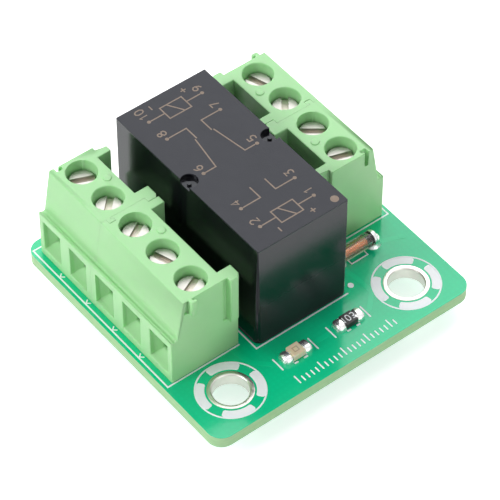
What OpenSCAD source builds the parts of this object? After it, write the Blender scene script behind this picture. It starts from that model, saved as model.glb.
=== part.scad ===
// Relay module: a sealed two-coil relay on a small board, with screw terminals along two sides.
// Millimetres, +Z up. X runs along the relay, Y runs from one terminal row to the other.

/* [Board] */
// Length of the board along X
board_l = 27.6; // [27.2:0.1:30]
// Width of the board along Y
board_w = 27.8; // [27.2:0.1:30]
// Thickness of the board
board_t = 1.2; // [1:0.1:1.6]
// Corner radius of the board
corner_r = 1.4; // [0.6:0.1:2]
// Length of the leads below the board
tail = 2; // [1.4:0.1:2.4]
// Bore radius of the mounting holes
hole_r = 1.6; // [1.3:0.05:1.7]
// Radius of the copper pad round a mounting hole
pad_r = 2.05; // [1.9:0.05:2.3]
// Terminal housing to the pad of a mounting hole
hole_gap = 1.025; // [0.8:0.025:1.3]
// Mounting hole to the middle line of the board
hole_y = 9.6; // [9.3:0.05:9.9]

/* [Terminal blocks] */
// Pitch of the terminal poles
pitch = 3.81; // [3.7:0.01:3.9]
// Height of a terminal housing
block_h = 9.3; // [9.1:0.05:9.9]
// Screw axis to the wire side of a housing
front_d = 3.5; // [3.4:0.05:3.7]
// Screw axis to the relay side of a housing
rear_d = 3.5; // [3.3:0.05:3.55]
// Screw axis to the front edge of the top face
top_front = 2.17; // [2:0.05:2.4]
// Screw axis to the recessed rear wall
recess_y = 2.1; // [2:0.05:2.4]
// Height of the ledge above the wire entries
ledge_z = 5.05; // [4.9:0.05:5.3]
// Relay case to the relay side of a housing
row_gap = 1.075; // [0.9:0.025:1.3]
// Middle of the front row from the middle of the board
row_x = -3.05; // [-3.3:0.05:-2.8]
// Radius of a screwdriver well
well_r = 1.4; // [1.3:0.02:1.46]
// Width of a wire entry
mouth_w = 2.5; // [2.3:0.05:2.6]
// Top of a wire entry
mouth_top = 4.3; // [4:0.05:4.5]
// Height of the lip below a wire entry
lip_z = 0.8; // [0.5:0.05:1]
// How far the joining tongue and hook stand out of a housing
tongue_out = 0.5; // [0.4:0.05:0.55]
// Width of the rear tab at the tongue end
tab_tongue = 1; // [0.9:0.05:1.2]
// Width of the rear tab at the slot end
tab_slot = 1.35; // [1.2:0.05:1.5]

/* [Clamps] */
// Radius of a screw head
head_r = 1.22; // [1.1:0.02:1.24]
// Height of a screw head
head_h = 1.4; // [1:0.05:1.6]
// Radius of a screw shank
shank_r = 1; // [0.9:0.02:1]
// Radial clearance of the shank in its cage
thread_gap = 0.03; // [0.02:0.01:0.06]
// Rise of a cage from open to clamped
cage_rise = 1.2; // [0.8:0.05:1.2]
// Directions of the screw slots in the front row, in degrees
front_slots = [67, -45, -60, 18, -65]; // [-90:1:90]
// Directions of the screw slots in the rear row, in degrees
rear_slots = [18, -38, 52, 72]; // [-90:1:90]

/* [Relay] */
// Length of the relay case at its foot
relay_l = 19.9; // [19.8:0.1:20.6]
// Width of the relay case at its foot
relay_w = 9.9; // [9.8:0.05:10.2]
// Top of the relay case above the board
relay_h = 11.7; // [11.6:0.05:12.4]
// Inward lean of each case wall from foot to top
draft = 0.18; // [0.05:0.01:0.22]
// Corner radius of the case
case_corner = 0.7; // [0.4:0.05:0.9]
// Wall thickness of the case
case_wall = 0.6; // [0.5:0.05:0.62]
// Middle of the relay from the middle of the board
relay_x = -2.33; // [-2.6:0.01:-2]
// Radius of the two notches in the top edges
notch_r = 0.8; // [0.6:0.05:0.9]
// Tilt of the armature to each side, in degrees
tilt = 2.5; // [2:0.1:2.6]

/* [Small parts] */
// Relay case to the chip centres along X
chip_gap = 2.62; // [2.4:0.05:2.8]
// Length of a chip
chip_l = 2; // [1.8:0.05:2.1]
// Width of a chip
chip_w = 1.2; // [1:0.05:1.3]
// Height of the indicator chip
led_h = 0.65; // [0.6:0.05:1]
// Height of the resistor chip
resistor_h = 0.55; // [0.45:0.05:0.7]
// Length of the glass diode
diode_l = 4.4; // [4.2:0.05:4.5]
// Radius of the caps of the glass diode
diode_r = 0.75; // [0.65:0.05:0.8]

/* [Hidden] */
$fn = 48;
fuse = 0.1;

// Rows of poles and mounting holes
front_poles = 5;
rear_poles = 4;
board_top = tail + board_t;
first_x = row_x - (front_poles - 1) / 2 * pitch;
row_y = relay_w / 2 + row_gap + rear_d;
end_gap = 0.12;
seam_gap = 0.02;
row_end = first_x + (front_poles - 0.5) * pitch - end_gap;
hole_x = row_end + tongue_out + hole_gap + pad_r;
plate_t = 0.05;

// Terminal housings
shelf_drop = 0.05;
shelf_z = ledge_z - shelf_drop;
gutter_r = 0.22;
gutter_d = 0.08;
gutter_y = 0.444;
gutter_start = 219.5;
gutter_end = 346.8;
gutter_parts = 8;
mouth_step = 0.45;
mouth_rise = 0.1;
neck_y = 2.35;
wire_w = 1.6;
rib_r = 0.36;
rib_y = 1.28;
rib_h = 0.1;
join_gap = 0.04;
tongue_y = 2.42;
tongue_cut = 0.3;
rail_l = 5.25;
rail_z = block_h - rail_l;
hook_y = -1.62;
hook_neck = 0.36;
hook_head = 0.6;
hook_root = 0.2;
hook_l = 1.6;
hook_z = block_h - hook_l;
groove_w = 0.42;
groove_d = 0.25;
groove_top = 0.1;

// Clamps, contact bars and their solder
cage_x = 1.3;
cage_y = 1.2;
cage_floor = 0.5;
cage_lid = 0.8;
cage_side = 0.3;
cage_gap = 0.15;
cage_play = 0.25;
floor_t = 0.75;
cage_drop = 0.2;
cage_z = floor_t + cage_drop;
wire_z = cage_z + cage_floor;
bar_gap = 0.6;
bar_z = wire_z + cage_rise + bar_gap;
bar_t = 0.5;
bar_w = 1.4;
bar_front = 1.05;
bar_fit = 0.15;
pin_w = 0.8;
pin_tip = 0.5;
pin_fit = 0.1;
tip_h = 0.25;
pole_lead_y = 1.75;
lid_gap = 0.45;
lid_z = bar_z + bar_t + lid_gap;
cage_top = lid_z + cage_lid;
cavity_top = cage_top + cage_rise + cage_gap;
seat_t = 0.55;
seat_z = cavity_top + seat_t;
shank_gap = 0.12;
screw_gap = 0.15;
screw_end = bar_z + bar_t + screw_gap;
screw_tip = 0.2;
head_edge = 0.12;
slot_w = 0.62;
slot_d = 0.42;
pin_hole = 0.55;
lead_hole = 0.45;
solder_over = 0.45;
solder_rim = 0.15;
solder_run = 0.8;
solder_skin = 0.03;

// Relay case, base and leads
case_z = 0.1;
roof_more = 0.1;
roof_t = case_wall + roof_more;
notch_x = -0.1;
notch_in = 0.48;
notch_d = 0.5;
gate_r = 0.2;
gate_h = 0.2;
cave_l = relay_l - 2 * (case_wall + draft);
cave_w = relay_w - 2 * (case_wall + draft);
cave_top = relay_h - roof_t;
fit = 0.05;
base_l = cave_l - 2 * fit;
base_w = cave_w - 2 * fit;
resin_t = 0.5;
base_z = case_z + resin_t;
base_t = 1.4;
base_top = base_z + base_t;
lead_grid = 2.54;
lead_x = lead_grid * [-3, -2, 0, 2, 3];
lead_y = 3.81;
lead_w = 0.5;
lead_t = 0.4;
land_up = 0.3;
land_z = base_top + land_up;
land_t = 0.3;
land_out = lead_y + lead_t / 2;
contact_land = [1, 2.6];
pivot_land = [1, 2.8];
coil_land = [0.6, 3.25];
contact_r = 0.45;

// Armature and contact springs
pivot_up = 2.55;
pivot_z = base_top + pivot_up;
arm_in = 0.92;
arm_l = 2 * (3 * lead_grid - arm_in);
arm_w = 3;
arm_t = 0.9;
pin_r = 0.35;
pin_gap = 0.04;
bearing_l = 1.6;
bearing_t = 0.5;
bearing_gap = 0.25;
bearing_y = arm_w / 2 + bearing_gap + bearing_t / 2;
bearing_up = 0.8;
pin_over = 0.15;
pin_l = 2 * (bearing_y + pin_over);
carrier_x = 2.6;
carrier_l = 1.2;
carrier_t = 0.5;
spring_y = 2.9;
spring_x = 2 * lead_grid;
spring_w = 0.8;
spring_t = 0.2;
button_r = 0.36;
button_t = 0.2;
spring_drop = arm_t / 2 + carrier_t + spring_t + button_t;
contact_gap = 0.03;
contact_z = pivot_z - spring_drop * cos(tilt) - (spring_x + button_r) * sin(tilt) - contact_gap;

// Coil, pole plates and magnet
coil_r = 2.45;
coil_fit = 0.15;
coil_z = cave_top - coil_r - coil_fit;
coil_in = 0.1;
coil_half = arm_l / 2 - coil_in;
core_r = 1;
tube_t = 0.35;
flange_t = 0.7;
flange_over = 0.1;
mid_t = 0.4;
plate_gap = 0.35;
plate_x = coil_half + plate_gap;
pole_t = 0.9;
pole_w = 3.2;
pole_up = 1.4;
pole_gap = 0.5;
step_l = 1.1;
step_w = 2.4;
step_h = 1.2;
plate_low = base_top + step_h;
foot_w = 2.2;
foot_t = 0.6;
yoke_t = 0.5;
yoke_y = 2.1;
yoke_w = 2 * yoke_y + yoke_t;
yoke_up = 1.5;
sill_t = 0.4;
magnet_l = 2.4;
magnet_w = 2.6;
magnet_gap = 0.2;

// Chips and diode
chip_x = relay_x + relay_l / 2 + chip_gap;
led_y = -2.9;
resistor_y = 2.85;
led_base_h = 0.36;
led_lens_in = 0.025;
led_end_h = 0.4;
end_l = 0.38;
solder_t = 0.05;
fillet_run = 0.6;
fillet_toe = 0.02;
fillet_mid = [0.28, 0.16];
fillet_in = 0.1;
diode_gap = 1.135;
diode_x = first_x + (rear_poles - 0.5) * pitch + diode_gap + diode_r;
diode_back = 1.225;
diode_y = row_y - diode_back;
diode_cap = 0.5;
diode_spread = 0.225;
glass_in = 0.05;
glass_l = diode_l - 2 * diode_cap;
die_r = 0.36;
cap_round = 0.15;

// A plate with rounded corners, standing on z = 0
module rounded_plate(l, w, t, r) {
  translate([-l / 2 + r, -w / 2, 0]) cube([l - 2 * r, w, t]);
  translate([-l / 2, -w / 2 + r, 0]) cube([l, w - 2 * r, t]);
  for (x = [-l / 2 + r, l / 2 - r]) {
    for (y = [-w / 2 + r, w / 2 - r]) {
      translate([x, y, 0]) cylinder(r = r, h = t);
    }
  }
}

// A box centred on x and y, standing on z = 0
module post(l, w, h) {
  translate([-l / 2, -w / 2, 0]) cube([l, w, h]);
}

// A shape drawn in y and z, pushed along x from a to b
module along_x(a, b) {
  translate([a, 0, 0]) rotate([90, 0, 90]) linear_extrude(height = b - a) children();
}

// Places its children at every pole of the front row, in the pole's own axes
module front_pole(i) {
  translate([first_x + i * pitch, -row_y, board_top]) children();
}

// Places its children at every pole of the rear row, turned to face the other way
module rear_pole(i) {
  translate([first_x + i * pitch, row_y, board_top]) rotate([0, 0, 180]) children();
}

// Places its children at the relay, with z = 0 on the board
module at_relay() {
  translate([relay_x, 0, board_top]) children();
}

// The cross-section of a terminal housing, wire side at negative y
module housing_profile() {
  turn = (gutter_end - gutter_start) / gutter_parts;
  gutter = [for (i = [0 : gutter_parts]) [
    -front_d + gutter_y + gutter_r * cos(gutter_start + i * turn),
    ledge_z - gutter_d + gutter_r + gutter_r * sin(gutter_start + i * turn)
  ]];
  polygon(concat(
    [[-front_d, 0], [-front_d, ledge_z]],
    gutter,
    [[-top_front, block_h], [recess_y, block_h], [recess_y, shelf_z], [rear_d, shelf_z], [rear_d, 0]]
  ));
}

// The funnel that leads a wire to the clamp, about the pole's axis
module wire_funnel() {
  intersection() {
    along_x(-mouth_w, mouth_w) polygon([
      [-front_d - fuse, lip_z], [-front_d + mouth_step, lip_z + mouth_rise],
      [-neck_y, wire_z], [-cage_y, wire_z], [-cage_y, bar_z],
      [-neck_y, bar_z], [-front_d + mouth_step, mouth_top], [-front_d - fuse, mouth_top]
    ]);
    linear_extrude(height = block_h) polygon([
      [-mouth_w / 2, -front_d - fuse], [mouth_w / 2, -front_d - fuse],
      [mouth_w / 2, -front_d + mouth_step], [wire_w / 2, -neck_y], [wire_w / 2, -cage_y],
      [-wire_w / 2, -cage_y], [-wire_w / 2, -neck_y], [-mouth_w / 2, -front_d + mouth_step]
    ]);
  }
}

// Everything taken out of a housing at one pole
module pole_cuts() {
  translate([0, 0, seat_z]) cylinder(r = well_r, h = block_h);
  translate([0, 0, cavity_top - fuse]) cylinder(r = shank_r + shank_gap, h = block_h);
  translate([0, 0, floor_t]) post(2 * (cage_x + cage_gap), 2 * (cage_y + cage_play), cavity_top - floor_t);
  translate([0, pole_lead_y, floor_t]) {
    post(bar_w + 2 * bar_fit, bar_t + 2 * pin_fit, bar_z + bar_t + 2 * pin_fit - floor_t);
  }
  translate([0, pole_lead_y, -fuse]) post(pin_w + 2 * pin_fit, bar_t + 2 * pin_fit, floor_t + 2 * fuse);
  wire_funnel();
}

// The tongue and the hook that join a housing to the next one, standing on its end at x = 0
module joining_rails() {
  translate([0, 0, rail_z]) linear_extrude(height = block_h - rail_z) polygon([
    [-fuse, tongue_y], [tongue_out, tongue_y], [tongue_out, rear_d - tongue_cut], [fuse, rear_d],
    [-fuse, rear_d]
  ]);
  translate([-fuse, hook_y, hook_z]) cube([tongue_out + fuse, hook_neck, block_h - hook_z]);
  translate([hook_root, hook_y, hook_z]) cube([tongue_out - hook_root, hook_head, block_h - hook_z]);
}

// The rebate and the slot that take the next housing's tongue and hook, cut into an end at x = 0
module joining_slots() {
  translate([-fuse, tongue_y - join_gap, rail_z - join_gap]) {
    cube([tongue_out + fuse + join_gap, rear_d, block_h]);
  }
  translate([0, hook_y - join_gap, hook_z - join_gap]) {
    translate([-fuse, 0, 0]) cube([hook_root + fuse, hook_neck + 2 * join_gap, block_h]);
    translate([hook_root - join_gap, 0, 0]) {
      cube([tongue_out - hook_root + 2 * join_gap, hook_head + 2 * join_gap, block_h]);
    }
  }
}

// A terminal housing of n poles, between its nominal ends at x = 0 and x = n * pitch
module housing(n, gap_slot, gap_tongue) {
  a = gap_slot;
  b = n * pitch - gap_tongue;
  tab_d = rear_d - recess_y + fuse;
  difference() {
    union() {
      along_x(a, b) housing_profile();
      translate([a, recess_y - fuse, 0]) cube([tab_slot - a, tab_d, block_h]);
      translate([b - tab_tongue, recess_y - fuse, 0]) cube([tab_tongue, tab_d, block_h]);
      translate([b, 0, 0]) joining_rails();
      translate([pitch, rib_y, block_h - fuse]) cylinder(r = rib_r, h = fuse + rib_h);
    }
    for (i = [0 : n - 1]) {
      translate([(i + 0.5) * pitch, 0, 0]) pole_cuts();
    }
    for (edge = [[tongue_y, rail_z], [hook_y, hook_z]]) {
      translate([b - groove_d, edge[0] - groove_w, edge[1]]) {
        cube([groove_d + fuse, groove_w, block_h - edge[1] - groove_top]);
      }
    }
    translate([a, 0, 0]) joining_slots();
  }
}

// A slotted clamp screw, its slot turned by a
module clamp_screw(a) {
  head_z = seat_z + thread_gap;
  shank_z = screw_end + screw_tip;
  difference() {
    union() {
      translate([0, 0, screw_end]) cylinder(r1 = shank_r - screw_tip, r2 = shank_r, h = screw_tip);
      translate([0, 0, shank_z]) cylinder(r = shank_r, h = head_z - shank_z + fuse);
      translate([0, 0, head_z]) cylinder(r = head_r, h = head_h - head_edge);
      translate([0, 0, head_z + head_h - head_edge]) {
        cylinder(r1 = head_r, r2 = head_r - head_edge, h = head_edge);
      }
    }
    rotate([0, 0, a]) translate([0, 0, head_z + head_h - slot_d]) post(3 * head_r, slot_w, head_h);
  }
}

// A clamp cage at its lowest place, open
module clamp_cage() {
  difference() {
    translate([0, 0, cage_z]) post(2 * cage_x, 2 * cage_y, cage_top - cage_z);
    translate([0, 0, cage_z + cage_floor]) {
      post(2 * (cage_x - cage_side), 3 * cage_y, lid_z - cage_z - cage_floor);
    }
    translate([0, 0, cage_z + cage_floor]) cylinder(r = shank_r + thread_gap, h = cage_top);
  }
}

// A contact bar with its solder lead, bent from one strip
module contact_bar() {
  translate([-bar_w / 2, -bar_front, bar_z]) cube([bar_w, bar_front + pole_lead_y + bar_t / 2, bar_t]);
  translate([0, pole_lead_y, floor_t]) post(bar_w, bar_t, bar_z - floor_t + fuse);
  translate([0, pole_lead_y, -board_top + tip_h]) post(pin_w, bar_t, board_top - tip_h + floor_t + fuse);
  translate([0, pole_lead_y, -board_top]) post(pin_tip, bar_t, tip_h + fuse);
}

// A solder joint that fills a lead hole and runs down the lead, about a lead of l by w
module solder_joint(hole, l, w) {
  wide = hole + solder_over;
  difference() {
    union() {
      translate([0, 0, tail]) cylinder(r = hole, h = board_t + solder_skin);
      translate([0, 0, tail - solder_rim]) cylinder(r = wide, h = solder_rim);
      translate([0, 0, tail - solder_rim - solder_run]) cylinder(r1 = hole, r2 = wide, h = solder_run);
    }
    translate([0, 0, -fuse]) post(l, w, 2 * board_top);
  }
}

// Every solder lead of the terminals, in turn
module each_terminal_lead() {
  for (i = [0 : front_poles - 1]) {
    translate([first_x + i * pitch, -row_y + pole_lead_y, 0]) children();
  }
  for (i = [0 : rear_poles - 1]) {
    translate([first_x + i * pitch, row_y - pole_lead_y, 0]) children();
  }
}

// Every lead of the relay, in turn
module each_relay_lead() {
  for (x = lead_x) {
    for (y = [-lead_y, lead_y]) {
      translate([relay_x + x, y, 0]) children();
    }
  }
}

module circuit_board() {
  color([0, 0.5, 0.33]) difference() {
    translate([0, 0, tail]) rounded_plate(board_l, board_w, board_t, corner_r);
    for (y = [-hole_y, hole_y]) {
      translate([hole_x, y, 0]) cylinder(r = hole_r + plate_t, h = 3 * board_top);
    }
    each_terminal_lead() cylinder(r = pin_hole, h = 3 * board_top);
    each_relay_lead() cylinder(r = lead_hole, h = 3 * board_top);
  }
}

module hole_plating() {
  color([0.8, 0.8, 0.76]) for (y = [-hole_y, hole_y]) {
    translate([hole_x, y, 0]) difference() {
      union() {
        translate([0, 0, tail - plate_t]) cylinder(r = pad_r, h = plate_t);
        translate([0, 0, tail - plate_t]) cylinder(r = hole_r + plate_t, h = board_t + 2 * plate_t);
        translate([0, 0, board_top]) cylinder(r = pad_r, h = plate_t);
      }
      cylinder(r = hole_r, h = 3 * board_top);
    }
  }
}

module front_block_two_pole() {
  color([0.55, 0.8, 0.5]) translate([first_x - pitch / 2, -row_y, board_top]) {
    housing(2, end_gap, seam_gap);
  }
}

module front_block_three_pole() {
  color([0.55, 0.8, 0.5]) translate([first_x + 1.5 * pitch, -row_y, board_top]) {
    housing(3, seam_gap, end_gap);
  }
}

module rear_block_far() {
  color([0.55, 0.8, 0.5]) translate([first_x + 1.5 * pitch, row_y, board_top]) rotate([0, 0, 180]) {
    housing(2, seam_gap, end_gap);
  }
}

module rear_block_near() {
  color([0.55, 0.8, 0.5]) translate([first_x + 3.5 * pitch, row_y, board_top]) rotate([0, 0, 180]) {
    housing(2, end_gap, seam_gap);
  }
}

module screw_f1() {
  color([0.8, 0.78, 0.75]) front_pole(0) clamp_screw(front_slots[0]);
}

module screw_f2() {
  color([0.8, 0.78, 0.75]) front_pole(1) clamp_screw(front_slots[1]);
}

module screw_f3() {
  color([0.8, 0.78, 0.75]) front_pole(2) clamp_screw(front_slots[2]);
}

module screw_f4() {
  color([0.8, 0.78, 0.75]) front_pole(3) clamp_screw(front_slots[3]);
}

module screw_f5() {
  color([0.8, 0.78, 0.75]) front_pole(4) clamp_screw(front_slots[4]);
}

module screw_r1() {
  color([0.8, 0.78, 0.75]) rear_pole(0) clamp_screw(rear_slots[0]);
}

module screw_r2() {
  color([0.8, 0.78, 0.75]) rear_pole(1) clamp_screw(rear_slots[1]);
}

module screw_r3() {
  color([0.8, 0.78, 0.75]) rear_pole(2) clamp_screw(rear_slots[2]);
}

module screw_r4() {
  color([0.8, 0.78, 0.75]) rear_pole(3) clamp_screw(rear_slots[3]);
}

module cage_f1() {
  color([0.7, 0.68, 0.62]) front_pole(0) clamp_cage();
}

module cage_f2() {
  color([0.7, 0.68, 0.62]) front_pole(1) clamp_cage();
}

module cage_f3() {
  color([0.7, 0.68, 0.62]) front_pole(2) clamp_cage();
}

module cage_f4() {
  color([0.7, 0.68, 0.62]) front_pole(3) clamp_cage();
}

module cage_f5() {
  color([0.7, 0.68, 0.62]) front_pole(4) clamp_cage();
}

module cage_r1() {
  color([0.7, 0.68, 0.62]) rear_pole(0) clamp_cage();
}

module cage_r2() {
  color([0.7, 0.68, 0.62]) rear_pole(1) clamp_cage();
}

module cage_r3() {
  color([0.7, 0.68, 0.62]) rear_pole(2) clamp_cage();
}

module cage_r4() {
  color([0.7, 0.68, 0.62]) rear_pole(3) clamp_cage();
}

module contact_bars_front() {
  color([0.75, 0.7, 0.6]) for (i = [0 : front_poles - 1]) {
    front_pole(i) contact_bar();
  }
}

module contact_bars_rear() {
  color([0.75, 0.7, 0.6]) for (i = [0 : rear_poles - 1]) {
    rear_pole(i) contact_bar();
  }
}

module terminal_solder() {
  color([0.78, 0.78, 0.78]) each_terminal_lead() solder_joint(pin_hole, pin_w, bar_t);
}

module relay_case() {
  half_l = relay_l / 2;
  half_w = relay_w / 2;
  notch_y = half_w - draft - notch_in;
  color([0.15, 0.15, 0.17]) at_relay() {
    difference() {
      intersection() {
        translate([0, 0, case_z]) rounded_plate(relay_l, relay_w, relay_h - case_z, case_corner);
        along_x(-relay_l, relay_l) polygon([
          [-half_w, 0], [half_w, 0], [half_w - draft, relay_h], [-half_w + draft, relay_h]
        ]);
        rotate([90, 0, 0]) linear_extrude(height = 2 * relay_w, center = true) polygon([
          [-half_l, 0], [half_l, 0], [half_l - draft, relay_h], [-half_l + draft, relay_h]
        ]);
      }
      translate([0, 0, case_z - fuse]) post(cave_l, cave_w, cave_top - case_z + fuse);
      for (y = [-notch_y, notch_y]) {
        translate([notch_x, y, relay_h - notch_d]) cylinder(r = notch_r, h = 1);
      }
    }
    for (y = [-notch_y, notch_y]) {
      translate([notch_x, y, relay_h - notch_d - fuse]) cylinder(r = gate_r, h = gate_h + fuse);
    }
  }
}

module relay_resin() {
  color([0.1, 0.1, 0.1]) difference() {
    at_relay() translate([0, 0, case_z]) post(base_l, base_w, resin_t);
    each_relay_lead() post(lead_w, lead_t, 3 * board_top);
  }
}

module relay_base() {
  color([0.2, 0.2, 0.2]) difference() {
    at_relay() {
      translate([0, 0, base_z]) post(base_l, base_w, base_t);
      for (y = [-bearing_y, bearing_y]) {
        translate([0, y, base_top - fuse]) {
          post(bearing_l, bearing_t, pivot_z - base_top + bearing_up + fuse);
        }
      }
      for (x = [-plate_x - pole_t / 2, plate_x + pole_t / 2]) {
        translate([x, 0, base_top - fuse]) post(step_l, step_w, step_h + fuse);
      }
    }
    each_relay_lead() post(lead_w, lead_t, 4 * board_top);
    at_relay() translate([0, 0, pivot_z]) rotate([90, 0, 0]) {
      cylinder(r = pin_r + pin_gap, h = 3 * arm_w, center = true);
    }
  }
}

// A lead's land on the base: its length along x and its inner edge in y, on side s
module lead_land(x, s, land) {
  translate([x, s * (land[1] + land_out) / 2, land_z]) post(land[0], land_out - land[1], land_t);
}

module relay_leads() {
  color([0.72, 0.68, 0.6]) {
    each_relay_lead() post(lead_w, lead_t, board_top + land_z);
    at_relay() for (s = [-1, 1]) {
      for (x = [-spring_x, spring_x]) {
        lead_land(x, s, contact_land);
        translate([x, s * spring_y, land_z]) cylinder(r = contact_r, h = contact_z - land_z);
      }
      lead_land(0, s, pivot_land);
      for (x = [lead_x[0], lead_x[4]]) {
        lead_land(x, s, coil_land);
      }
    }
  }
}

module relay_solder() {
  color([0.78, 0.78, 0.78]) each_relay_lead() solder_joint(lead_hole, lead_w, lead_t);
}

module coil_bobbin() {
  color([0.85, 0.83, 0.75]) at_relay() translate([0, 0, coil_z]) rotate([0, 90, 0]) difference() {
    union() {
      cylinder(r = core_r + tube_t, h = 2 * coil_half, center = true);
      cylinder(r = coil_r + flange_over, h = mid_t, center = true);
      for (x = [-coil_half, coil_half - flange_t]) {
        translate([0, 0, x]) cylinder(r = coil_r + flange_over, h = flange_t);
      }
    }
    cylinder(r = core_r, h = 3 * coil_half, center = true);
  }
}

// One half of the winding, from the middle flange to an end flange
module winding_half() {
  rotate([0, 90, 0]) translate([0, 0, mid_t / 2]) difference() {
    cylinder(r = coil_r - flange_over, h = coil_half - flange_t - mid_t / 2);
    translate([0, 0, -fuse]) cylinder(r = core_r + tube_t, h = coil_half);
  }
}

module winding_set() {
  color([0.7, 0.35, 0.15]) at_relay() translate([0, 0, coil_z]) winding_half();
}

module winding_reset() {
  color([0.62, 0.3, 0.14]) at_relay() translate([0, 0, coil_z]) rotate([0, 0, 180]) winding_half();
}

module coil_core() {
  color([0.6, 0.6, 0.6]) at_relay() translate([0, 0, coil_z]) rotate([0, 90, 0]) {
    cylinder(r = core_r, h = 2 * (plate_x + pole_t), center = true);
  }
}

module pole_plates() {
  upper = pivot_z + arm_t / 2 + pole_gap;
  color([0.6, 0.6, 0.6]) at_relay() for (s = [-1, 1]) {
    translate([s * (plate_x + pole_t / 2), 0, 0]) difference() {
      union() {
        translate([0, 0, plate_low]) post(pole_t, foot_w, foot_t);
        translate([0, 0, plate_low]) post(pole_t, yoke_w, sill_t);
        for (y = [-yoke_y, yoke_y]) {
          translate([0, y, plate_low]) post(pole_t, yoke_t, pivot_z - plate_low + yoke_up);
        }
        translate([0, 0, upper]) post(pole_t, yoke_w, yoke_t);
        translate([0, 0, upper]) post(pole_t, pole_w, coil_z + pole_up - upper);
      }
      translate([0, 0, coil_z]) rotate([0, 90, 0]) cylinder(r = core_r, h = 3 * pole_t, center = true);
    }
  }
}

module bias_magnet() {
  low = pivot_z + arm_t / 2 + magnet_gap;
  color([0.35, 0.35, 0.38]) at_relay() translate([0, 0, low]) {
    post(magnet_l, magnet_w, coil_z - coil_r - flange_over - low);
  }
}

// Turns its children to the tilt of the armature at rest
module tilted() {
  at_relay() translate([0, 0, pivot_z]) rotate([0, tilt, 0]) children();
}

module armature() {
  color([0.58, 0.58, 0.58]) tilted() {
    translate([0, 0, -arm_t / 2]) post(arm_l, arm_w, arm_t);
    rotate([90, 0, 0]) cylinder(r = pin_r, h = pin_l, center = true);
  }
}

module spring_carrier() {
  color([0.88, 0.86, 0.8]) tilted() for (x = [-carrier_x, carrier_x]) {
    translate([x, 0, -arm_t / 2 - carrier_t]) post(carrier_l, 2 * spring_y + spring_w, carrier_t);
  }
}

module contact_springs() {
  color([0.8, 0.62, 0.4]) tilted() for (s = [-1, 1]) {
    translate([0, s * spring_y, button_t - spring_drop]) post(2 * spring_x + spring_w, spring_w, spring_t);
    for (x = [-spring_x, spring_x]) {
      translate([x, s * spring_y, -spring_drop]) cylinder(r = button_r, h = button_t + spring_t / 2);
    }
  }
}

// A chip's place: on the board, long way along y
module at_chip(y) {
  translate([chip_x, y, board_top + solder_t]) children();
}

module led_body() {
  color([0.88, 0.82, 0.6]) at_chip(led_y) {
    post(chip_w, chip_l - 2 * end_l, led_base_h);
    post(chip_w, chip_l - 2 * (end_l + led_lens_in), led_h);
  }
}

module resistor_body() {
  color([0.12, 0.12, 0.12]) at_chip(resistor_y) post(chip_w, chip_l - 2 * end_l, resistor_h);
}

module chip_ends() {
  color([0.85, 0.85, 0.84]) for (s = [-1, 1]) {
    at_chip(led_y) translate([0, s * (chip_l - end_l) / 2, 0]) post(chip_w, end_l, led_end_h);
    at_chip(resistor_y) translate([0, s * (chip_l - end_l) / 2, 0]) post(chip_w, end_l, resistor_h);
  }
}

// A solder fillet that climbs the end of a chip of height h
module chip_fillet(h) {
  along_x(-chip_w / 2, chip_w / 2) polygon([
    [-end_l, -solder_t], [fillet_run, -solder_t], [fillet_run, fillet_toe], fillet_mid,
    [fillet_in, h - fillet_in], [0, h], [0, 0], [-end_l, 0]
  ]);
}

module chip_solder() {
  color([0.8, 0.8, 0.8]) for (s = [0, 180]) {
    at_chip(led_y) rotate([0, 0, s]) translate([0, chip_l / 2, 0]) chip_fillet(led_end_h);
    at_chip(resistor_y) rotate([0, 0, s]) translate([0, chip_l / 2, 0]) chip_fillet(resistor_h);
    translate([diode_x, diode_y, board_top]) rotate([0, 0, s]) difference() {
      translate([0, diode_l / 2 - diode_cap / 2, 0]) {
        cylinder(r1 = diode_r + diode_spread, r2 = diode_r, h = diode_r);
      }
      translate([0, 0, diode_r + solder_t]) rotate([-90, 0, 0]) cylinder(r = diode_r, h = diode_l / 2);
    }
  }
}

// The diode's axis, along y
module at_diode() {
  translate([diode_x, diode_y, board_top + diode_r + solder_t]) rotate([90, 0, 0]) children();
}

module diode_glass() {
  color([0.85, 0.4, 0.2]) at_diode() difference() {
    cylinder(r = diode_r - glass_in, h = glass_l, center = true);
    cylinder(r = die_r, h = 2 * glass_l, center = true);
  }
}

module diode_caps() {
  color([0.86, 0.86, 0.85]) at_diode() for (s = [0, 180]) {
    rotate([s, 0, 0]) translate([0, 0, diode_l / 2 - diode_cap]) {
      cylinder(r = diode_r, h = diode_cap - cap_round);
      translate([0, 0, diode_cap - cap_round]) {
        cylinder(r1 = diode_r, r2 = diode_r - cap_round, h = cap_round);
      }
    }
  }
}

module diode_die() {
  color([0.5, 0.25, 0.15]) at_diode() cylinder(r = die_r, h = glass_l, center = true);
}

circuit_board();
hole_plating();
front_block_two_pole();
front_block_three_pole();
rear_block_far();
rear_block_near();
screw_f1();
screw_f2();
screw_f3();
screw_f4();
screw_f5();
screw_r1();
screw_r2();
screw_r3();
screw_r4();
cage_f1();
cage_f2();
cage_f3();
cage_f4();
cage_f5();
cage_r1();
cage_r2();
cage_r3();
cage_r4();
contact_bars_front();
contact_bars_rear();
terminal_solder();
relay_case();
relay_resin();
relay_base();
relay_leads();
relay_solder();
coil_bobbin();
winding_set();
winding_reset();
coil_core();
pole_plates();
bias_magnet();
armature();
spring_carrier();
contact_springs();
led_body();
resistor_body();
chip_ends();
chip_solder();
diode_glass();
diode_caps();
diode_die();
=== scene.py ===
import math

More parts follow.
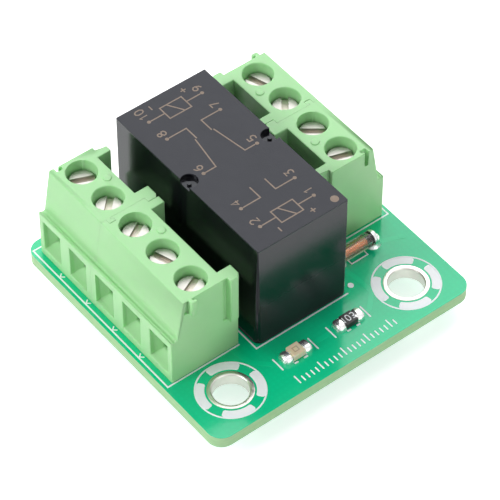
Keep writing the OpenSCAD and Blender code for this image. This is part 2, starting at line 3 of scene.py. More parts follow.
import bmesh
import bpy
import numpy as np
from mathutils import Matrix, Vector


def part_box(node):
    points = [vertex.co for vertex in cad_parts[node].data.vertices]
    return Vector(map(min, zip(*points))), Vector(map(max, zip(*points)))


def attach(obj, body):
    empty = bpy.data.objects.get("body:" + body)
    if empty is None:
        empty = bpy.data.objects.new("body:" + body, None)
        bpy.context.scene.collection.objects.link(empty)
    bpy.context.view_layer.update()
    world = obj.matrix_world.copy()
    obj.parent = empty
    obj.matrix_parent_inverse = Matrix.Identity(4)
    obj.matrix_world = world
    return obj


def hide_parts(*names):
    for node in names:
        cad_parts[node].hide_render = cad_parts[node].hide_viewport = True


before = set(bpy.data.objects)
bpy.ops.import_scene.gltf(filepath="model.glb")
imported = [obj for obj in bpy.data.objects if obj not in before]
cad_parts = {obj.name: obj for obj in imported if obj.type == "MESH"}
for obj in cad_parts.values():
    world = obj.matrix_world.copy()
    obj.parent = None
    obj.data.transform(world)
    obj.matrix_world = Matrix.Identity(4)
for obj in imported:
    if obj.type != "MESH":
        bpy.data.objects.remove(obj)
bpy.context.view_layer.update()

# The circuit board: a plate of woven glass laminate, routed to shape with rounded corners.
# A glossy green solder mask is cured over both faces; the routed edge stays bare and pale.
MM = 0.001


class Field:
    """One socket of a node tree. Arithmetic on fields adds Math nodes, and node() adds any other node."""

    def __init__(self, tree, socket=None):
        self.tree = tree
        self.socket = socket

    def node(self, kind, settings, sockets, out=0):
        """Adds a node of a kind with these settings, fills its sockets with values or links, and gives one of
        its outputs.
        """
        made = self.tree.nodes.new("ShaderNode" + kind)
        for name, value in settings.items():
            setattr(made, name, value)
        for name, value in sockets.items():
            if isinstance(value, Field):
                self.tree.links.new(value.socket, made.inputs[name])
            else:
                made.inputs[name].default_value = value
        return Field(self.tree, made.outputs[out])

    def maths(self, operation, *values):
        """A Math node of this operation on these values, which may be fields."""
        return self.node("Math", {"operation": operation}, dict(enumerate(values)))

    def __add__(self, other):
        return self.maths("ADD", self, other)

    def __radd__(self, other):
        return self.maths("ADD", other, self)

    def __sub__(self, other):
        return self.maths("SUBTRACT", self, other)

    def __rsub__(self, other):
        return self.maths("SUBTRACT", other, self)

    def __mul__(self, other):
        return self.maths("MULTIPLY", self, other)

    def __rmul__(self, other):
        return self.maths("MULTIPLY", other, self)

    def __abs__(self):
        return self.maths("ABSOLUTE", self)

    def wave(self, period):
        """A sine of this length in metres, from 0 to 1."""
        return 0.5 + 0.5 * self.maths("SINE", self * (2 * math.pi / period))

    def step(self, low, high):
        """Runs smoothly from 0 where this is low to 1 where it is high."""
        limits = {"Value": self, "From Min": low, "From Max": high}
        return self.node("MapRange", {"interpolation_type": "SMOOTHSTEP"}, limits)

    def mix(self, low, high):
        """A colour: low where this is 0, high where it is 1."""
        return self.node("Mix", {"data_type": "RGBA"}, {0: self, 6: low, 7: high}, 2)

    def axis(self, name):
        """One coordinate of this place: X, Y or Z."""
        return self.node("SeparateXYZ", {}, {0: self}, name)

    def noise(self, size, detail=2.0, stretch=(1, 1, 1)):
        """Noise from 0 to 1 in grains this many metres across, drawn out along each axis by stretch."""
        scale = tuple(1 / (size * longer) for longer in stretch)
        cells = self.node("Mapping", {}, {"Vector": self, "Scale": scale})
        return self.node("TexNoise", {}, {"Vector": cells, "Scale": 1.0, "Detail": detail})

    def bump(self, depth):
        """A normal for a surface whose height is this times depth metres."""
        return self.node("Bump", {}, {"Height": self, "Distance": depth})


def new_finish(name, constants):
    """A material whose Principled shader holds these constants, and the place on the piece in metres."""
    finish = bpy.data.materials.new(name)
    finish.use_nodes = True
    shader = finish.node_tree.nodes["Principled BSDF"]
    for socket, value in constants.items():
        shader.inputs[socket].default_value = value
    return finish, Field(finish.node_tree).node("TexCoord", {}, {}, "Object")


def feed(finish, fields):
    """Links fields to the sockets of a finish's Principled shader."""
    shader = finish.node_tree.nodes["Principled BSDF"]
    for socket, field in fields.items():
        finish.node_tree.links.new(field.socket, shader.inputs[socket])


def wear(finish, *nodes):
    """Puts a finish in the material slots of CAD nodes."""
    for node in nodes:
        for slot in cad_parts[node].material_slots:
            slot.material = finish


def cad_box(node):
    """The lowest and highest corner of a CAD node, in millimetres."""
    low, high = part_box(node)
    return np.array(low) / MM, np.array(high) / MM


board_low, board_high = cad_box("circuit_board")
board_top = board_high[2]
board_mid = (board_low[2] + board_top) / 2 * MM
half_thick = (board_top - board_low[2]) / 2 * MM
mask_depths = (0.00004, 0.00002)
weave_pitch = 0.0005

board_finish, place = new_finish("green solder mask on glass laminate", {"IOR": 1.52})
bare_at, masked_at = (half_thick - depth for depth in mask_depths)
masked = abs(place.axis("Z") - board_mid).step(bare_at, masked_at)
weave = place.axis("X").wave(weave_pitch) * place.axis("Y").wave(weave_pitch)
tone = 0.75 * place.noise(0.004) + 0.25 * weave
mask_colour = tone.mix((0.0, 0.56, 0.26, 1), (0.0, 0.66, 0.31, 1))
layers = place.noise(0.0002, 3.0, (6, 6, 0.5))
edge_colour = layers.mix((0.27, 0.56, 0.25, 1), (0.50, 0.72, 0.41, 1))
feed(board_finish, {
    "Base Color": masked.mix(edge_colour, mask_colour),
    "Roughness": 0.62 - 0.5 * masked + 0.05 * place.noise(0.002),
    "Normal": (place.noise(0.0009) * masked + layers * (1 - masked)).bump(0.000012),
})
wear(board_finish, "circuit_board")


# The copper tracks that link the small parts: etched foil, seen as low ridges under the mask.
# One joins the lamp to its resistor, the others run off beneath the relay and the terminals.
track_w = 0.5
track_h = 0.012
via_r = 0.32
via_spot = (5.54, 12.77)
rib_foot = 0.01
rib_fall = 0.7
mitre_least = 0.6
merge_reach = 0.0002
sharp_turn = 35


def grid_faces(rows, cols, ring_rows=False, ring_cols=False):
    """Quads between the points of a grid counted row by row; a ring joins the last line to the first."""
    row = np.arange(rows if ring_rows else rows - 1)[:, None]
    col = np.arange(cols if ring_cols else cols - 1)[None, :]
    row_on = (row + 1) % rows
    col_on = (col + 1) % cols
    corners = [row * cols + col, row * cols + col_on, row_on * cols + col_on, row_on * cols + col]
    return np.stack(corners, -1).reshape(-1, 4).tolist()


def rib(path, width, base, height, corner=0.0, ring=False):
    """A low flat-topped rib along a plan path, in millimetres. Points lie either side of the path along the
    mitre of its corners. Within the corner radius of an open end the half-width falls as a quarter circle
    does, and the top falls a little along an open path, so that the rib may cross itself.
    """
    path = np.asarray(path, float)
    run = np.diff(np.vstack([path, path[:1]]) if ring else path, axis=0)
    length = np.linalg.norm(run, axis=1)
    side = np.stack([-run[:, 1], run[:, 0]], 1) / length[:, None]
    before = np.roll(side, 1, axis=0) if ring else np.vstack([side[:1], side])
    after = side if ring else np.vstack([side, side[-1:]])
    opened = np.maximum(1 + np.sum(before * after, axis=1, keepdims=True), mitre_least)
    mitre = (before + after) / opened
    half = np.full(len(path), width / 2)
    if not ring:
        along = np.concatenate([[0], np.cumsum(length)])
        rounding = corner * (1 - np.cos(np.linspace(0, math.pi / 2, 6)))
        stations = np.unique(np.concatenate([along, rounding, along[-1] - rounding]))
        from_end = np.minimum(stations, along[-1] - stations)
        short = np.clip(corner - from_end, 0, corner)
        half = width / 2 - corner + np.sqrt(corner**2 - short**2)
        path = np.stack([np.interp(stations, along, path[:, k]) for k in (0, 1)], 1)
        mitre = np.stack([np.interp(stations, along, mitre[:, k]) for k in (0, 1)], 1)
    top = np.maximum(half - height, 0)
    across = np.stack([-half, -top, top, half], 1)
    plan = path[:, None] + across[..., None] * mitre[:, None]
    top_level = base + height * np.linspace(1, 1 if ring else rib_fall, len(path))[:, None]
    foot = 0 * top_level + base - rib_foot
    level = np.hstack([foot, top_level, top_level, foot])
    points = np.concatenate([plan, level[..., None]], -1).reshape(-1, 3)
    faces = grid_faces(len(path), 4, ring, True)
    last = 4 * len(path)
    ends = [] if ring else [[0, 1, 2, 3], [last - 4, last - 3, last - 2, last - 1]]
    return points, faces + ends


def disc(centre, radius, base, height):
    """A low round pad: a rib as long as it is wide whose ends are half circles."""
    x, y = centre
    return rib([(x - radius, y), (x + radius, y)], 2 * radius, base, height, radius)


def new_piece(name, parts, finish, body="module"):
    """One mesh from several shapes, each an array of points in millimetres and a list of faces. Points that
    meet are merged, faces are turned outwards, and edges past the sharp turn stay sharp.
    """
    starts = np.cumsum([0] + [len(points) for points, faces in parts])
    points = np.concatenate([points for points, faces in parts]) * MM
    faces = [[k + start for k in face] for (_, some), start in zip(parts, starts) for face in some]
    mesh = bpy.data.meshes.new(name)
    mesh.from_pydata(points.tolist(), [], faces)
    work = bmesh.new()
    work.from_mesh(mesh)
    bmesh.ops.remove_doubles(work, verts=work.verts, dist=merge_reach * MM)
    bmesh.ops.recalc_face_normals(work, faces=work.faces)
    work.to_mesh(mesh)
    work.free()
    mesh.polygons.foreach_set("use_smooth", np.ones(len(mesh.polygons), bool))
    mesh.set_sharp_from_angle(angle=math.radians(sharp_turn))
    mesh.materials.append(finish)
    piece = bpy.data.objects.new(name, mesh)
    bpy.context.scene.collection.objects.link(piece)
    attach(piece, body)
    return piece


led_low, led_high = cad_box("led_body")
ohm_low, ohm_high = cad_box("resistor_body")
diode_low, diode_high = cad_box("diode_caps")
chip_x = (led_low[0] + led_high[0]) / 2
diode_x = (diode_low[0] + diode_high[0]) / 2
track_paths = [
    [(chip_x, led_high[1]), (chip_x, ohm_low[1])],
    [(chip_x, led_low[1]), (chip_x, led_low[1] - 1.3), (chip_x - 1.6, led_low[1] - 2.9), (4.4, -7.4)],
    [(chip_x, ohm_high[1]), (chip_x, 5.2), (chip_x - 1.4, 6.6), (7.1, 6.6), (diode_x, 6.3)],
    [(diode_x, diode_high[1] - 0.3), (5.0, 11.4), via_spot],
]
tracks = [rib(path, track_w, board_top, track_h, track_w / 2) for path in track_paths]
tracks.append(disc(via_spot, via_r, board_top, 2 * track_h))

track_finish, place = new_finish("green mask over copper", {"IOR": 1.52})
feed(track_finish, {
    "Base Color": place.noise(0.003).mix((0.0, 0.60, 0.28, 1), (0.0, 0.70, 0.33, 1)),
    "Roughness": 0.11 + 0.05 * place.noise(0.002),
})
track_piece = new_piece("masked_tracks", tracks, track_finish)


# The board print: white epoxy ink, screened on the mask about twenty micrometres thick.
# It rings both fixing holes, outlines the parts and carries a plain rule along the near edge.
ink_h = 0.024
line_w = 0.17
ring_r = 3.01
ring_points = 120
lobe_r = 2.57
lobe_w = 0.74
lobe_round = 0.2
lobe_gap_at = 23
lobe_gap = 27
relay_line = (-12.4, 7.73, 5.12)
relay_line_gap = (1.0, 0.2)
pin_dot_off = (0.55, 0.53)
pin_dot_r = 0.29
block_line = (-12.95, 6.46, 13.55, 5.95)
rear_line_end = 2.75
tick_poles = (-9.07, -5.26, -1.45, 2.36)
tick_half = 0.28
tick_in = (0.42, 0.1)
tick_w = 0.14
bracket_out = 1.28
bracket_half = 0.75
dash_out = 0.76
dash_starts = (-0.72, 0.3)
dash_l = 0.42
dash_w = 0.2
dash_round = 0.08
diode_line = (0.78, 7.3, 9.1)
diode_line_w = 0.14
rule_start = (12.98, -4.5)
rule_ticks = 22
rule_pitch = 0.5
rule_short = 0.6
rule_long = 0.95
rule_w = 0.15
rule_round = 0.05


def arc(centre, radius, start, end, count=24):
    """Plan points on a circle between two angles in degrees."""
    angle = np.radians(np.linspace(start, end, count))
    return np.stack([centre[0] + radius * np.cos(angle), centre[1] + radius * np.sin(angle)], 1)


def ink(path, width=line_w, corner=line_w / 2, ring=False):
    """A printed line on the board."""
    return rib(path, width, board_top, ink_h, corner, ring)


pad_low, pad_high = cad_box("hole_plating")
pad_r = (pad_high[0] - pad_low[0]) / 2
hole_spots = [(pad_low[0] + pad_r, y) for y in (pad_low[1] + pad_r, pad_high[1] - pad_r)]
board_print = []
for spot in hole_spots:
    board_print.append(ink(arc(spot, ring_r, 0, 360 - 360 / ring_points, ring_points), line_w, 0, True))
    for quarter in range(4):
        start = lobe_gap_at + 90 * quarter + lobe_gap / 2
        board_print.append(ink(arc(spot, lobe_r, start, start + 90 - lobe_gap), lobe_w, lobe_round))
far, near, side = relay_line
gap_x, gap_y = relay_line_gap
relay_corners = [(near, -side), (far, -side), (far, side)]
board_print.append(ink([(near, side - gap_y), *relay_corners, (near - gap_x, side)]))
pin_dot = (near - pin_dot_off[0], side + pin_dot_off[1])
board_print.append(disc(pin_dot, pin_dot_r, board_top, ink_h))
far, near, front, inner = block_line
board_print.append(ink([(far, -inner), (far, -front), (near, -front), (near, -inner)]))
board_print.append(ink([(far, inner), (far, front), (rear_line_end, front), (rear_line_end, inner)]))
for x in tick_poles:
    rows = (-1, 1) if x < rear_line_end - 1 else (-1,)
    for s in rows:
        tail, tip = (s * (front - step) for step in tick_in)
        board_print.append(ink([(x - tick_half, tail), (x, tip), (x + tick_half, tail)], tick_w, tick_w / 2))
for low, high in ((led_low, led_high), (ohm_low, ohm_high)):
    for y in (low[1] - bracket_out, high[1] + bracket_out):
        board_print.append(ink([(chip_x - bracket_half, y), (chip_x + bracket_half, y)]))
    middle = (low[1] + high[1]) / 2
    for x in (chip_x - dash_out, chip_x + dash_out):
        for y in (middle + start for start in dash_starts):
            board_print.append(ink([(x, y), (x, y + dash_l)], dash_w, dash_round))
half_w, near_y, far_y = diode_line
left, right = diode_x - half_w, diode_x + half_w
diode_corners = [(right, near_y), (right, far_y), (left, far_y), (left, near_y)]
board_print.append(ink(diode_corners, diode_line_w, 0, True))
for tick in range(rule_ticks):
    x, y = rule_start[0], rule_start[1] + rule_pitch * tick
    tick_l = rule_long if tick % 5 == 0 else rule_short
    board_print.append(ink([(x - tick_l, y), (x, y)], rule_w, rule_round))

ink_finish, place = new_finish("white epoxy ink", {"IOR": 1.45})
feed(ink_finish, {
    "Base Color": place.noise(0.0006).mix((0.91, 0.94, 0.98, 1), (0.96, 0.98, 1.0, 1)),
    "Roughness": 0.42 + 0.15 * place.noise(0.0003),
})
new_piece("board_print", board_print, ink_finish)


# The plated fixing holes: copper barrels with a ring on each face, dipped in tin.
# The tin draws back to a soft lip where the ring turns into the bore.
bore_r = 1.6
barrel_r = 1.65
lip = 0.16
rim_in = (0.06, 0.01)
rim_drop = 0.02


def turned(profile, centre, order=(0, 1, 2), count=64, ring=False):
    """A surface of revolution: each radius and height of the profile is carried round an upright axis through
    the centre. Another order of the coordinates lays the axis along x or y.
    """
    radius, height = np.asarray(profile, float).T[:, :, None]
    angle = np.linspace(0, 2 * math.pi, count, endpoint=False)
    spun = [radius * np.cos(angle), radius * np.sin(angle), height + 0 * angle]
    points = np.stack(spun, -1)[..., list(order)].reshape(-1, 3) + np.asarray(centre)
    return points, grid_faces(len(radius), count, ring, True)


half_t = (pad_high[2] - pad_low[2]) / 2
face_t = (board_top - board_low[2]) / 2
bend = np.linspace(0, math.pi / 2, 8)
lip_points = np.stack([bore_r + lip * (1 - np.cos(bend)), half_t - lip * (1 - np.sin(bend))], 1)
rim_points = [(pad_r - rim_in[0], half_t), (pad_r - rim_in[1], half_t - rim_drop)]
upper = np.vstack([lip_points, rim_points, [(pad_r, face_t), (barrel_r, face_t)]])
hole_profile = np.vstack([upper, (upper * (1, -1))[::-1]])
hole_mid = (pad_low[2] + pad_high[2]) / 2
holes = [turned(hole_profile, (x, y, hole_mid), ring=True) for x, y in hole_spots]

tin_finish, place = new_finish("dipped tin", {"Metallic": 1.0})
feed(tin_finish, {
    "Base Color": place.noise(0.0008).mix((0.64, 0.62, 0.57, 1), (0.76, 0.74, 0.70, 1)),
    "Roughness": 0.24 + 0.16 * place.noise(0.0005),
    "Normal": place.noise(0.0005).bump(0.00003),
})
hole_piece = new_piece("tinned_holes", holes, tin_finish)
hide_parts("hole_plating")
wear(tin_finish, "hole_plating")


# The terminal housings: light green nylon, injection moulded in blocks of two and three poles.
# Their edges are slightly rounded by the mould, and each block is held by its soldered leads.
seam_x = cad_box("front_block_three_pole")[0][0]
hook_sides = {"front_block_two_pole": 1, "front_block_three_pole": 1,
              "rear_block_far": -1, "rear_block_near": -1}
housing_round = 0.11
snug = 0.019
cad_merge = 0.0005
flat_angle = 0.4
edge_angle = 30
full_room = 2.2
least_weight = 0.4
aside_cosine = 0.8
slope_lean = (0.1, 0.3)
pocket_in = 0.8
pocket_edge = 0.75
pocket_down = 2
seam_reach = 1.0


def turning_edges(mesh, angle):
    """Which edges of a closed mesh turn by more than an angle, from the normals of the two faces at each."""
    normal = np.empty(3 * len(mesh.polygons))
    mesh.polygons.foreach_get("normal", normal)
    sides = np.empty(len(mesh.polygons), int)
    mesh.polygons.foreach_get("loop_total", sides)
    edge = np.empty(len(mesh.loops), int)
    mesh.loops.foreach_get("edge_index", edge)
    face = np.repeat(np.arange(len(sides)), sides)
    pairs = face[np.argsort(edge, kind="stable")].reshape(-1, 2)
    ends = normal.reshape(-1, 3)[pairs]
    return np.sum(ends[:, 0] * ends[:, 1], axis=1) < math.cos(angle)


def softened(node, name, radius, finish, body="module", segments=2, hook=0):
    """A merged copy of a CAD node with its edges rounded by a Bevel modifier of this radius in millimetres.
    Short edges are rounded less. For a housing, hook is 1 or -1, for a hook on its side of higher or lower x.
    Its points stand out along their normals by the snug distance, which nearly closes the gap to the next
    housing, and an edge's rounding goes by the shortest edge that leaves it sideways. Edges stay sharp at
    the seam between two housings, round the slot for a hook, and on the slope by the groove next to the hook.
    """
    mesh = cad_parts[node].data.copy()
    mesh.name = name
    work = bmesh.new()
    work.from_mesh(mesh)
    bmesh.ops.remove_doubles(work, verts=work.verts, dist=cad_merge * MM)
    bmesh.ops.dissolve_limit(work, angle_limit=math.radians(flat_angle), verts=work.verts, edges=work.edges)
    work.to_mesh(mesh)
    work.free()
    spots = np.empty(3 * len(mesh.vertices))
    mesh.vertices.foreach_get("co", spots)
    if hook:
        outward = np.empty_like(spots)
        mesh.vertices.foreach_get("normal", outward)
        spots += snug * MM * outward
        mesh.vertices.foreach_set("co", spots)
    corners = np.empty(2 * len(mesh.edges), int)
    mesh.edges.foreach_get("vertices", corners)
    corners = corners.reshape(-1, 2)
    ends = spots.reshape(-1, 3)[corners] / MM
    turning = turning_edges(mesh, math.radians(edge_angle))
    run = ends[:, 1] - ends[:, 0]
    length = np.linalg.norm(run, axis=1)
    room = length
    if hook:
        first, second = np.nonzero(corners[:, None, :, None] == corners[None, :, None, :])[:2]
        along = np.abs(np.sum(run[first] * run[second], axis=1))
        aside = along < aside_cosine * length[first] * length[second]
        room = np.full(len(run), np.inf)
        np.minimum.at(room, first[aside], length[second[aside]])
    weight = turning * np.clip(room / (full_room * radius), 0, 1)
    weight[weight < least_weight] = 0
    if hook:
        middle = ends.mean(axis=1)
        low, high = ends.min(axis=(0, 1)), ends.max(axis=(0, 1))
        by_hook = (middle[:, 0] - (low[0] + high[0]) / 2) * hook > 0
        lean = np.abs(run[:, 1]) / np.maximum(np.abs(run[:, 2]), 1e-6)
        slope = by_hook & (lean > slope_lean[0]) & (lean < slope_lean[1])
        inward = np.abs(middle[:, 0] - (low[0] if hook > 0 else high[0]))
        pocket = (inward < pocket_in) & (length < pocket_edge) & (middle[:, 2] > high[2] - pocket_down)
        seam = np.abs(ends[..., 0] - seam_x).max(axis=1) < seam_reach
        weight[slope | pocket | seam] = 0
    mesh.attributes.new("bevel_weight_edge", "FLOAT", "EDGE").data.foreach_set("value", weight)
    mesh.attributes.new("sharp_edge", "BOOLEAN", "EDGE").data.foreach_set("value", turning & (weight == 0))
    mesh.polygons.foreach_set("use_smooth", np.ones(len(mesh.polygons), bool))
    mesh.materials.clear()
    mesh.materials.append(finish)
    piece = bpy.data.objects.new(name, mesh)
    bpy.context.scene.collection.objects.link(piece)
    bevel = piece.modifiers.new("rounded edges", "BEVEL")
    bevel.width = radius * MM
    bevel.segments = segments
    bevel.limit_method = "WEIGHT"
    bevel.miter_outer = "MITER_SHARP"
    bevel.loop_slide = not hook
    bevel.use_clamp_overlap = not hook
    flats = piece.modifiers.new("flat faces", "WEIGHTED_NORMAL")
    flats.weight = 100
    flats.keep_sharp = True
    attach(piece, body)
    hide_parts(node)
    wear(finish, node)


nylon_constants = {"IOR": 1.53, "Subsurface Weight": 0.25, "Subsurface Scale": 0.0005,
                   "Subsurface Radius": (0.3, 1.0, 0.3)}
nylon_finish, place = new_finish("light green nylon", nylon_constants)
flow = place.noise(0.0025, 2.0, (3, 1, 1))
feed(nylon_finish, {
    "Base Color": flow.mix((0.35, 0.69, 0.325, 1), (0.40, 0.74, 0.365, 1)),
    "Roughness": 0.34 + 0.12 * place.noise(0.0006),
    "Normal": place.noise(0.00012).bump(0.000004),
})
for node, hook in hook_sides.items():
    softened(node, node + "_moulding", housing_round, nylon_finish, hook=hook)


# The clamp screws: slotted cheese heads turned from steel and nickel plated.
# Each turns in its well and draws its wire cage up; fine rings from the lathe show on the head.
pole_names = [name.removeprefix("screw_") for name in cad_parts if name.startswith("screw_")]
screw_round = 0.05
slot_depths = (0.12, 0.4)
lathe_pitch = 0.00006

screw_finish, place = new_finish("turned nickel plate", {"Metallic": 1.0})
first_low, first_high = cad_box("screw_f1")
first_pole = (first_low + first_high) / 2 * MM
pitch = (sum(cad_box("screw_f2")) - sum(cad_box("screw_f1")))[0] / 2 * MM
across = place.maths("WRAP", place.axis("X") - first_pole[0], pitch / 2, -pitch / 2)
out = abs(place.axis("Y")) - abs(first_pole[1])
from_axis = place.maths("SQRT", across * across + out * out)
rings = from_axis.wave(lathe_pitch)
nickel = place.noise(0.001).mix((0.38, 0.365, 0.345, 1), (0.48, 0.465, 0.44, 1))
slot_top, slot_floor = ((first_high[2] - depth) * MM for depth in slot_depths)
# Below the top face of the head, in the slot and down the head's sides, the colour turns a lighter, warmer
# grey: painted light in the shaded slot.
below_top_painted_light = place.axis("Z").step(slot_top, slot_floor)
feed(screw_finish, {
    "Base Color": below_top_painted_light.mix(nickel, (0.62, 0.56, 0.50, 1)),
    "Roughness": 0.26 + 0.12 * place.noise(0.0007) + 0.1 * below_top_painted_light,
    "Normal": (0.5 * rings + 0.8 * place.noise(0.0003)).bump(0.000003),
})
for name in pole_names:
    softened("screw_" + name, "nickel_screw_" + name, screw_round, screw_finish,
             "clamp_screw_" + name)


# The clamp cages and contact bars: the cages are folded from nickel-plated steel strip, and the bars
# are tinned brass, bent down into the leads that are soldered through the board.
def mottled(name, constants, low, high, grain, depth, rough):
    """A finish whose colour wanders between two tones over a fine grain of this depth, both in metres."""
    finish, place = new_finish(name, constants)
    feed(finish, {
        "Base Color": place.noise(6 * grain).mix(low, high),
        "Roughness": rough[0] + (rough[1] - rough[0]) * place.noise(3 * grain),
        "Normal": place.noise(grain).bump(depth),
    })
    return finish


cage_finish = mottled("dull nickel plate", {"Metallic": 1.0}, (0.55, 0.54, 0.52, 1), (0.72, 0.71, 0.70, 1),
                      0.0002, 0.000006, (0.28, 0.45))
brass_finish = mottled("tinned brass", {"Metallic": 1.0}, (0.70, 0.66, 0.55, 1), (0.84, 0.81, 0.73, 1),
                       0.0002, 0.000006, (0.22, 0.4))
wear(cage_finish, *["cage_" + name for name in pole_names])
wear(brass_finish, "contact_bars_front", "contact_bars_rear")


# The solder joints under the board: tin alloy that has wetted each pad and drawn up its lead.
# Each is a shallow cone with hollow sides, bright from the soldering bath.
terminal_hole = 0.55
relay_hole = 0.45
pad_over = 0.45
pad_t = 0.04
joint_h = 0.92
joint_power = 2.2
tip_part = 0.86
tip_h = 0.02
hole_play = 0.02
lead_in = 1.75
lead_grid = 2.54
relay_lead_y = 3.81


def joint(spot, hole):
    """A solder joint: a plug fills the hole, and below it the radius beyond the tip's goes with a power of
    the way that is left from the pad down to the tip.
    """
    t = np.linspace(0, 1, 14)
    under = board_low[2]
    tip_r, plug_r, outer_r = tip_part * hole, hole - hole_play, hole + pad_over
    plug = [(0, board_top), (plug_r, board_top), (plug_r, under), (outer_r, under)]
    skirt_r = tip_r + (outer_r - tip_r) * (1 - t) ** joint_power
    skirt = np.stack([skirt_r, under - pad_t - (joint_h - pad_t) * t], 1)
    profile = np.vstack([plug, skirt, [(0, under - joint_h - tip_h)]])
    return turned(profile, (*spot, 0), count=32)


relay_low, relay_high = cad_box("relay_case")
relay_mid = (relay_low + relay_high) / 2
screw_spots = [sum(cad_box("screw_" + name))[:2] / 2 for name in pole_names]
terminal_joints = [joint((x, y - math.copysign(lead_in, y)), terminal_hole) for x, y in screw_spots]
relay_joints = [joint((relay_mid[0] + lead_grid * k, relay_mid[1] + y), relay_hole)
                for k in (-3, -2, 0, 2, 3) for y in (-relay_lead_y, relay_lead_y)]

solder_finish = mottled("bright solder", {"Metallic": 1.0}, (0.82, 0.82, 0.82, 1), (0.95, 0.95, 0.94, 1),
                        0.0003, 0.00001, (0.18, 0.34))
terminal_solder = new_piece("terminal_solder_cones", terminal_joints, solder_finish)
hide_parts("terminal_solder")
relay_solder = new_piece("relay_solder_cones", relay_joints, solder_finish)
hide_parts("relay_solder")
wear(solder_finish, "terminal_solder", "relay_solder")


# The inside of the relay: two windings on a plastic bobbin around an iron core, with a magnet,
# pole plates and a rocking armature that carries the contact springs over the leads.
wire_pitch = 0.00009
bobbin_finish = mottled("cream moulded plastic", {"IOR": 1.5}, (0.68, 0.64, 0.52, 1), (0.76, 0.72, 0.61, 1),
                        0.0002, 0.000006, (0.4, 0.55))
iron_finish = mottled("annealed iron", {"Metallic": 1.0}, (0.40, 0.39, 0.38, 1), (0.56, 0.55, 0.54, 1),
                      0.0002, 0.000008, (0.35, 0.55))
magnet_finish = mottled("sintered magnet", {"Metallic": 0.3}, (0.06, 0.06, 0.065, 1), (0.13, 0.13, 0.14, 1),
                        0.0001, 0.00001, (0.5, 0.75))
spring_finish = mottled("bronze spring strip", {"Metallic": 1.0},
                        (0.72, 0.47, 0.26, 1), (0.85, 0.60, 0.36, 1), 0.0003, 0.000004, (0.22, 0.36))
lead_finish = mottled("tinned copper strip", {"Metallic": 1.0}, (0.70, 0.67, 0.60, 1), (0.84, 0.82, 0.77, 1),
                      0.0002, 0.000006, (0.22, 0.4))
resin_finish = mottled("cast black resin", {"IOR": 1.55}, (0.012, 0.012, 0.013, 1), (0.03, 0.03, 0.03, 1),
                       0.0006, 0.00003, (0.25, 0.45))
base_finish = mottled("black moulded base", {"IOR": 1.5}, (0.025, 0.025, 0.027, 1), (0.05, 0.05, 0.052, 1),
                      0.0002, 0.000006, (0.45, 0.6))
winding_finish, place = new_finish("enamelled copper wire", {"Metallic": 1.0, "Coat Weight": 0.6})
# The colour darkens and lightens with every wire turn: painted shade between the turns, over a random tone.
# The same wave also feeds the bump.
turns_with_painted_shade = place.axis("X").wave(wire_pitch)
feed(winding_finish, {
    "Base Color": (0.6 * turns_with_painted_shade + 0.4 * place.noise(0.001)).mix((0.34, 0.11, 0.04, 1), (0.76, 0.34, 0.14, 1)),
    "Roughness": 0.25 + 0.15 * place.noise(0.0008),
    "Normal": turns_with_painted_shade.bump(0.00003),
})
wear(bobbin_finish, "coil_bobbin", "spring_carrier")
wear(iron_finish, "coil_core", "pole_plates", "armature")
wear(magnet_finish, "bias_magnet")
wear(spring_finish, "contact_springs")
wear(lead_finish, "relay_leads")
wear(resin_finish, "relay_resin")
wear(base_finish, "relay_base")
wear(winding_finish, "winding_set", "winding_reset")


# The relay case: a black box moulded in one piece, open below and sealed there with resin.
# Its faces have the fine grain of a spark-eroded mould, and two ejector notches show on top.
case_round = 0.13
top_depths = (0.2, 0.05)
end_depths = (0.0001, 0.00004)
case_constants = {"IOR": 1.43, "Specular Tint": (0.88, 0.92, 1.0, 1)}
case_finish, place = new_finish("black grained plastic", case_constants)
side_at, top_at = ((relay_high[2] - depth) * MM for depth in top_depths)
# Mask of the top face: it gets the coarser grain, a rougher finish and a painted light in its colour.
top_grain_and_painted_light = place.axis("Z").step(side_at, top_at)
half_l = (relay_high[0] - relay_mid[0]) * MM
side_at, end_at = (half_l - depth for depth in end_depths)
on_end = abs(place.axis("X") - relay_mid[0] * MM).step(side_at, end_at)
# The top is painted a little lighter than the sides: painted light on the top face, over its coarser mould
# grain.
side_colour = (0.004, 0.004, 0.006, 1)
painted_light_top_colour = place.noise(0.003).mix((0.011, 0.011, 0.015, 1), (0.016, 0.016, 0.021, 1))
feed(case_finish, {
    "Base Color": top_grain_and_painted_light.mix(side_colour, painted_light_top_colour),
    "Roughness": 0.09 + 0.37 * top_grain_and_painted_light + 0.3 * on_end + 0.07 * place.noise(0.0008),
    "Normal": ((0.4 + 0.6 * top_grain_and_painted_light) * place.noise(0.00009, 3.0)).bump(0.000012),
})
softened("relay_case", "relay_case_moulding", case_round, case_finish, "module", 3)


